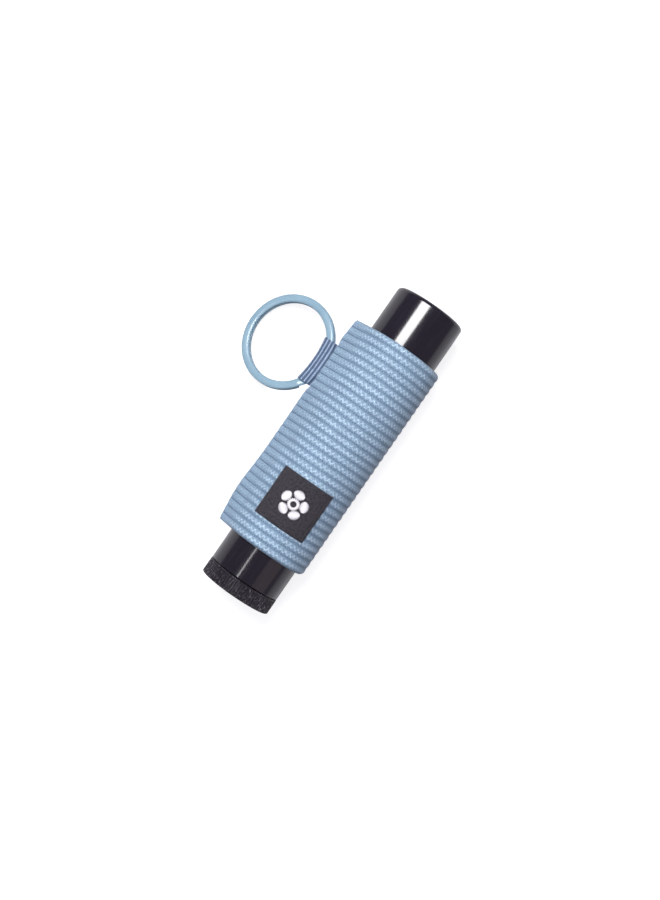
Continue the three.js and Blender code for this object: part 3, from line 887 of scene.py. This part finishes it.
label_shape = bmesh.new()
bmesh.ops.create_grid(label_shape, x_segments=LABEL_STEPS, y_segments=LABEL_STEPS, size=0.5)
bmesh.ops.scale(label_shape, vec=(LABEL_LENGTH, LABEL_WIDTH, 1), verts=label_shape.verts)
label_map = label_shape.loops.layers.uv.new("weave")
for face in label_shape.faces:
    for loop in face.loops:
        loop[label_map].uv = (loop.vert.co.x / MM, loop.vert.co.y / MM)
flat_faces = label_shape.faces[:]
grown = bmesh.ops.extrude_face_region(label_shape, geom=flat_faces)["geom"]
for vert in (item for item in grown if isinstance(item, bmesh.types.BMVert)):
    vert.co.z = LABEL_THICKNESS - 0.08 * MM + label_surface(vert.co.x, vert.co.y)
onto_sleeve(label_shape, LABEL_BASE)


def label_cloth():
    """Fine plain weave of label tape, faintly uneven in tone at random."""
    material = new_material("black_weave", (0.03, 0.026, 0.034), 0.85, Sheen_Weight=0.08)
    tree = material.node_tree
    place = node(tree, "ShaderNodeUVMap", uv_map="weave").outputs[0]
    axes = node(tree, "ShaderNodeSeparateXYZ", {"Vector": place}).outputs
    per_mm = 2 * math.pi * LABEL_THREADS
    warp = maths(tree, "COSINE", maths(tree, "MULTIPLY", axes["X"], per_mm))
    weft = maths(tree, "COSINE", maths(tree, "MULTIPLY", axes["Y"], per_mm))
    weave = maths(tree, "MULTIPLY", warp, weft)
    fuzz = noise(tree, place, 2.2, 6)
    worn = maths(tree, "MULTIPLY_ADD", weave, 0.25, ramp(tree, fuzz, 0.3, 0.7))
    colour = mixed(tree, worn, (0.012, 0.01, 0.015, 1), (0.055, 0.049, 0.062, 1))
    roughness = maths(tree, "MULTIPLY_ADD", fuzz, 0.3, 0.62)
    return surface(material, colour, roughness, weave, 0.7, 0.04 * MM)


label = piece("label_tape", label_shape, label_cloth(), smooth_angle=60)
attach(label, "sleeve")
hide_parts("label_patch")


# ---- Emblem ----
# A plain flower of five petals in white satin stitch: each petal is a row of threads laid
# side by side, and a ring of short threads closes the middle.
EMBLEM_RADIUS = 3.1 * MM
PETALS = 5
PETAL_LENGTH = 1.85 * MM
PETAL_WIDTH = 2.3 * MM
SATIN_PITCH = 0.19 * MM
SATIN_HEIGHT = 0.14 * MM
HEART_THREADS = 18
HEART_RADIUS = 0.95 * MM
HEART_THREAD_LENGTH = 0.75 * MM
HEART_THREAD_WIDTH = 0.3 * MM
emblem_shape = bmesh.new()


def satin_thread(centre, length, heading, width=SATIN_PITCH):
    """One thread of satin stitch, a long low bead lying flat."""
    size = Matrix.Diagonal((length / 2, width * 0.56, SATIN_HEIGHT, 1))
    place = Matrix.Translation((*centre, 0)) @ Matrix.Rotation(heading, 4, "Z") @ size
    bmesh.ops.create_uvsphere(emblem_shape, u_segments=8, v_segments=6, radius=1, matrix=place)


petal_threads = int(PETAL_WIDTH / SATIN_PITCH)
for petal in range(PETALS):
    heading = 2 * math.pi * petal / PETALS
    petal_middle = EMBLEM_RADIUS - PETAL_LENGTH / 2
    for index in range(petal_threads):
        side = (index + 0.5) / petal_threads * 2 - 1
        length = PETAL_LENGTH * math.sqrt(1 - side * side) * 1.12
        spot = Vector((petal_middle, side * PETAL_WIDTH / 2))
        spot.rotate(Matrix.Rotation(heading, 2))
        satin_thread(spot, length, heading)
for index in range(HEART_THREADS):
    heading = 2 * math.pi * index / HEART_THREADS
    spot = Vector((HEART_RADIUS, 0))
    spot.rotate(Matrix.Rotation(heading, 2))
    satin_thread(spot, HEART_THREAD_LENGTH, heading, width=HEART_THREAD_WIDTH)
onto_sleeve(emblem_shape, LABEL_BASE + LABEL_THICKNESS - 0.05 * MM)
white_thread = new_material("white_thread", (0.9, 0.88, 0.92), 0.5, Sheen_Weight=0.3)
emblem = piece("flower_emblem", emblem_shape, white_thread, smooth_angle=80)
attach(emblem, "sleeve")
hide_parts("label_emblem")


# ---- Label stitching ----
# Black thread in a running stitch just inside the label's four edges, each stitch a short
# rounded bead pulled down into the tape.
STITCH_LENGTH = 1.15 * MM
STITCH_GAP = 0.35 * MM
STITCH_RADIUS = 0.13 * MM
stitch_shape = bmesh.new()


def running_stitch(centre, heading):
    size = Matrix.Diagonal((STITCH_LENGTH / 2, STITCH_RADIUS, STITCH_RADIUS, 1))
    place = Matrix.Translation((*centre, 0)) @ Matrix.Rotation(heading, 4, "Z") @ size
    bmesh.ops.create_uvsphere(stitch_shape, u_segments=10, v_segments=8, radius=1, matrix=place)


for half_run, half_side, turned_by in (
    (LABEL_LENGTH / 2 - STITCH_INSET, LABEL_WIDTH / 2 - STITCH_INSET, 0),
    (LABEL_WIDTH / 2 - STITCH_INSET, LABEL_LENGTH / 2 - STITCH_INSET, math.pi / 2),
):
    count = round(2 * half_run / (STITCH_LENGTH + STITCH_GAP))
    for side in (-1, 1):
        for index in range(count):
            along = ((index + 0.5) / count * 2 - 1) * half_run
            spot = Vector((along, side * half_side))
            spot.rotate(Matrix.Rotation(turned_by, 2))
            running_stitch(spot, turned_by)
onto_sleeve(stitch_shape, LABEL_BASE + LABEL_THICKNESS - 0.06 * MM)
black_thread = new_material("black_thread", (0.02, 0.018, 0.023), 0.6, Sheen_Weight=0.2)
stitching = piece("label_stitches", stitch_shape, black_thread, smooth_angle=80)
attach(stitching, "sleeve")
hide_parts("label_stitching")


# ---- Ring tab ----
# A short length of darker ribbed webbing folded round the ring's wire, with both ends sewn
# into the crease. It bends at the lips of the seam, and its fold dips in the middle.
spin_joint = next(j for j in frame["record"]["behaviour"]["joints"] if j["name"] == "ring_spin")
RING_CENTRE = Vector(spin_joint["pos_m"])
RING_AXIS = Vector(spin_joint["axis"]).normalized()
hinge_point = Vector((TAB_X, HINGE_Y, HINGE_Z))
RING_REACH = (RING_CENTRE - hinge_point).length
DROOP = math.atan2(RING_AXIS.y, RING_AXIS.z)
RING_MIDDLE = 9.55 * MM
WIRE_WIDTH = 1.7 * MM
WIRE_THICKNESS = 0.85 * MM
COIL_GAP = 0.06 * MM
WEB_THICKNESS = 0.42 * MM
TAB_RIB_PITCH = 0.8 * MM
TAB_RIB_DEPTH = 0.11 * MM
TAB_DASH_PITCH = 0.5 * MM
TAB_STEPS = 82
TAB_ROOT = 1.3 * MM
TAB_BEND = 0.9 * MM
TAB_PATH_STEP = 0.09 * MM
PROFILE_POINTS = 400
stack_half = WIRE_THICKNESS + COIL_GAP / 2
web_half = stack_half + 0.14 * MM + WEB_THICKNESS / 2


def wire_place(x):
    """How far the wire's middle is from the hinge, at a place across the tab."""
    return RING_REACH - math.sqrt(RING_MIDDLE**2 - (x - TAB_X) ** 2)


def fold_place(x):
    """How far the webbing's fold reaches from the hinge, across the tab."""
    part = (x - TAB_X) / TAB_HALF_WIDTH
    reach = 3.05 * MM + 0.55 * MM * part * part
    return max(reach, wire_place(x) + WIRE_WIDTH / 2 + 0.16 * MM + WEB_THICKNESS / 2)


tab_length = 2 * (TAB_ROOT + fold_place(TAB_X + TAB_HALF_WIDTH)) + 1.2 * MM
path_count = 2 * round(tab_length / TAB_PATH_STEP / 2)


def tab_profile(x):
    """Points of the webbing's middle line in (out from the hinge, up), upper end first.

    Its two layers lie together in the seam, part just before the wire, and meet in a fold."""
    fold = fold_place(x)
    together = WEB_THICKNESS / 2 + 0.02 * MM
    apart = wire_place(x) - WIRE_WIDTH / 2 - 0.12 * MM
    points = []
    for index in range(PROFILE_POINTS + 1):
        angle = math.pi * index / PROFILE_POINTS
        out = -TAB_ROOT + (fold + TAB_ROOT) * math.sin(angle) ** 0.72
        half = together + (web_half - together) * smooth_step(out, apart - 1.0 * MM, apart)
        into_fold = max(0.0, (out - fold + web_half) / web_half)
        half *= math.sqrt(max(0.0, 1 - into_fold**2))
        points.append(Vector((out, half if index < PROFILE_POINTS / 2 else -half)))
    return points


def spaced(points, count):
    """The same line again, as count + 1 evenly spaced points."""
    lengths = [0.0]
    for first, second in zip(points, points[1:]):
        lengths.append(lengths[-1] + (second - first).length)
    result = []
    at = 0
    for index in range(count + 1):
        want = lengths[-1] * index / count
        while at < len(points) - 2 and lengths[at + 1] < want:
            at += 1
        part = (want - lengths[at]) / max(lengths[at + 1] - lengths[at], 1e-12)
        result.append(points[at].lerp(points[at + 1], min(1.0, part)))
    return result, lengths[-1]


def droop(out, up):
    """Turns the part of the tab outside the lips down about the hinge."""
    turn = -DROOP * smooth_step(out, -TAB_BEND, TAB_BEND * 0.6)
    return out * math.cos(turn) - up * math.sin(turn), out * math.sin(turn) + up * math.cos(turn)


tab_shape = bmesh.new()
flat_line = [tab_shape.verts.new((0, TAB_PATH_STEP * index, 0)) for index in range(path_count + 1)]
for first, second in zip(flat_line, flat_line[1:]):
    tab_shape.edges.new((first, second))
bmesh.ops.spin(
    tab_shape,
    geom=tab_shape.verts[:] + tab_shape.edges[:],
    axis=(1, 0, 0),
    dvec=(2 * TAB_HALF_WIDTH / TAB_STEPS, 0, 0),
    angle=0,
    steps=TAB_STEPS,
)
tab_map = tab_shape.loops.layers.uv.new("weave")
for face in tab_shape.faces:
    for loop in face.loops:
        loop[tab_map].uv = (loop.vert.co.x / TAB_DASH_PITCH, loop.vert.co.y / TAB_RIB_PITCH)
profiles = {}
for vert in tab_shape.verts:
    column = round(vert.co.x / (2 * TAB_HALF_WIDTH) * TAB_STEPS)
    if column not in profiles:
        x = TAB_X - TAB_HALF_WIDTH + 2 * TAB_HALF_WIDTH * column / TAB_STEPS
        profiles[column] = (x, *spaced(tab_profile(x), path_count))
    x, line = profiles[column][:2]
    index = round(vert.co.y / TAB_PATH_STEP)
    way = line[min(index + 1, path_count)] - line[max(index - 1, 0)]
    rib = abs(math.sin(math.pi * vert.co.y / TAB_RIB_PITCH)) - 0.5
    spot = line[index] + Vector((-way.y, way.x)).normalized() * TAB_RIB_DEPTH * rib
    y, z = droop(spot.x, spot.y)
    vert.co = (x, HINGE_Y + y, HINGE_Z + z)
bmesh.ops.recalc_face_normals(tab_shape, faces=tab_shape.faces)
tab_faces = tab_shape.faces[:]
outward = sum(face.normal.z for face in tab_faces if face.calc_center_median().z > HINGE_Z)
if outward < 0:
    bmesh.ops.reverse_faces(tab_shape, faces=tab_faces)
tab_shape.normal_update()
for vert in tab_shape.verts:
    vert.normal_update()
bmesh.ops.solidify(tab_shape, geom=tab_faces, thickness=WEB_THICKNESS)
bmesh.ops.recalc_face_normals(tab_shape, faces=tab_shape.faces)
blue_webbing = woven(
    "blue_webbing",
    {
        "Yarn": (0.07, 0.115, 0.2, 1),
        # Pale yarn, partly a painted highlight on the webbing's ridges.
        "Pale yarn": (0.4, 0.52, 0.72, 1),
        # Painted shade in the troughs between the webbing's ridges.
        "Groove": (0.022, 0.045, 0.09, 1),
        "Pale share": 1.0,
        "Swing": 0.03,
        "Plain until": -20.0,
    },
    0.05 * MM,
    Sheen_Weight=0.2,
    Sheen_Roughness=0.4,
)
tab = piece("tab_webbing", tab_shape, blue_webbing, smooth_angle=60)
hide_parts("ring_tab")
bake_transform(tab)


# ---- Key ring ----
# A split ring of flattened spring wire wound for two turns, one on the other, with a short
# ramp where it climbs between them, under smooth light-blue enamel.
RING_STEPS = 288
RAMP = math.radians(18)
RAMP_PLACE = math.radians(-31)
WINDING_PITCH = 10 * MM
SECTION_POINTS = 20
SECTION_FULLNESS = 0.85
ring_shape = bmesh.new()
section = bmesh.ops.create_circle(
    ring_shape, cap_ends=True, segments=SECTION_POINTS, radius=1
)["verts"]
for vert in section:
    across, up = vert.co.x, vert.co.y
    full_across = math.copysign(abs(across) ** SECTION_FULLNESS, across)
    full_up = math.copysign(abs(up) ** SECTION_FULLNESS, up)
    vert.co = (full_across * WIRE_WIDTH / 2, full_up * WIRE_THICKNESS / 2, 0)
start_angle = RAMP_PLACE - math.pi / 2 - RAMP / 2
span = 4 * math.pi - RAMP
bmesh.ops.transform(
    ring_shape,
    matrix=Matrix.Translation((RING_MIDDLE, 0, 0)) @ Matrix.Rotation(math.pi / 2, 4, "X"),
    verts=ring_shape.verts,
)
bmesh.ops.spin(
    ring_shape,
    geom=ring_shape.verts[:] + ring_shape.edges[:] + ring_shape.faces[:],
    axis=(0, 0, 1),
    dvec=(0, 0, span / (2 * math.pi) * WINDING_PITCH / RING_STEPS),
    angle=span,
    steps=RING_STEPS,
)
level = (WIRE_THICKNESS + COIL_GAP) / 2
for vert in ring_shape.verts:
    angle = math.atan2(vert.co.y, vert.co.x) % (2 * math.pi)
    turns = round((vert.co.z / WINDING_PITCH * 2 * math.pi - angle) / (2 * math.pi))
    along = angle + 2 * math.pi * turns
    height = vert.co.z - along / (2 * math.pi) * WINDING_PITCH
    climb = smooth_step(along, span / 2 - RAMP / 2, span / 2 + RAMP / 2)
    vert.co.z = height + level * (2 * climb - 1)
wound = Matrix.Rotation(start_angle, 4, "Z") @ Matrix.Scale(-1, 4, (0, 1, 0))
hung = Matrix.Translation(RING_CENTRE) @ Matrix.Rotation(-DROOP, 4, "X")
bmesh.ops.transform(ring_shape, matrix=hung @ wound, verts=ring_shape.verts)
bmesh.ops.recalc_face_normals(ring_shape, faces=ring_shape.faces)


def enamel():
    """Smooth stoved enamel, slightly uneven in tone, over bright spring steel."""
    material = new_material(
        "blue_enamel",
        (0.27, 0.42, 0.52),
        0.3,
        Coat_Weight=0.5,
        Coat_Roughness=0.2,
        Specular_IOR_Level=0.6,
    )
    tree = material.node_tree
    place = node(tree, "ShaderNodeTexCoord").outputs["Object"]
    tone = noise(tree, place, 180, 3)
    peel = noise(tree, place, 1400, 2)
    colour = mixed(tree, tone, (0.2, 0.33, 0.43, 1), (0.31, 0.46, 0.56, 1))
    roughness = maths(tree, "MULTIPLY_ADD", tone, 0.2, 0.2)
    return surface(material, colour, roughness, peel, 0.25, 0.03 * MM)


ring = piece("split_ring", ring_shape, enamel(), smooth_angle=40)
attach(ring, "ring")
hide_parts("key_ring")


# ---- Floor, lights and camera ----
# A plain white table under a softbox on the ring's side, with broad fill light from overhead
# and a dim room, so that black gloss keeps one bright band. A small lamp lays a narrow streak
# by the dial, and a dim warm card shows in the gloss on the other side.
TABLE_GLOW = 0.78
middle = Vector((0, AXIS_Y, AXIS_Z))
floor_shape = bmesh.new()
bmesh.ops.create_grid(floor_shape, x_segments=1, y_segments=1, size=1.5)
white_table = new_material("white_table", (0.42, 0.42, 0.43), 0.9, Emission_Color=(1, 1, 1, 1))
table_nodes = white_table.node_tree
seen = node(table_nodes, "ShaderNodeLightPath").outputs["Is Camera Ray"]
glow = maths(table_nodes, "MULTIPLY", seen, TABLE_GLOW)
table_nodes.links.new(glow, table_nodes.nodes["Principled BSDF"].inputs["Emission Strength"])
floor = piece("floor", floor_shape, white_table)


def softbox(name, place, aim, size, power, colour=(1, 1, 1), in_gloss=True):
    """A rectangular lamp at a place from the stick's middle, aimed at a point near it."""
    lamp = bpy.data.lights.new(name, "AREA")
    lamp.shape = "RECTANGLE"
    lamp.size, lamp.size_y = size
    lamp.energy = power
    lamp.color = colour
    lit = bpy.data.objects.new(name, lamp)
    bpy.context.scene.collection.objects.link(lit)
    lit.location = middle + Vector(place)
    facing = (middle + Vector(aim) - lit.location).normalized()
    along = Vector((1, 0, 0)) - facing * facing.x
    along.normalize()
    lit.matrix_world = Matrix.Translation(lit.location) @ Matrix(
        (along, (-facing).cross(along), -facing)
    ).transposed().to_4x4()
    lit.visible_glossy = in_gloss
    return lit


softbox("band_softbox", (0.11, 0.13, 0.36), (0.01, 0, 0), (0.17, 0.2), 1.5)
softbox("overhead_fill", (-0.05, 0.02, 0.8), (0, 0, 0), (0.9, 0.9), 2.2, in_gloss=False)
softbox("streak_lamp", (-0.16, 0.125, 0.34), (-0.03, 0, 0), (0.1, 0.022), 0.045)
softbox("warm_card", (-0.13, -0.42, 0.3), (0, 0, 0), (0.25, 0.42), 0.08, colour=(1, 0.78, 0.66))
world = bpy.data.worlds.new("dim_studio")
world.use_nodes = True
world.node_tree.nodes["Background"].inputs["Color"].default_value = (0.92, 0.87, 1.08, 1)
world.node_tree.nodes["Background"].inputs["Strength"].default_value = 0.2
bpy.context.scene.world = world
bpy.context.scene.view_settings.view_transform = "Standard"

CAMERA_DISTANCE = 0.29
VIEW_HEIGHT = 0.1864
FILM = 36
STICK_SLOPE = math.radians(55.3)
view_right = Vector((math.cos(STICK_SLOPE), -math.sin(STICK_SLOPE), 0))
view_up = Vector((math.sin(STICK_SLOPE), math.cos(STICK_SLOPE), 0))
lens = bpy.data.cameras.new("camera")
lens.sensor_width = FILM
lens.lens = FILM * CAMERA_DISTANCE / VIEW_HEIGHT
lens.clip_start = 0.01
camera = bpy.data.objects.new("camera", lens)
bpy.context.scene.collection.objects.link(camera)
above = middle + Vector((-0.3 * MM, 0, CAMERA_DISTANCE))
camera_place = above - view_right * 0.46 * MM + view_up * 0.23 * MM
camera.matrix_world = Matrix.Translation(camera_place) @ Matrix(
    (view_right, view_up, Vector((0, 0, 1)))
).transposed().to_4x4()
bpy.context.scene.camera = camera
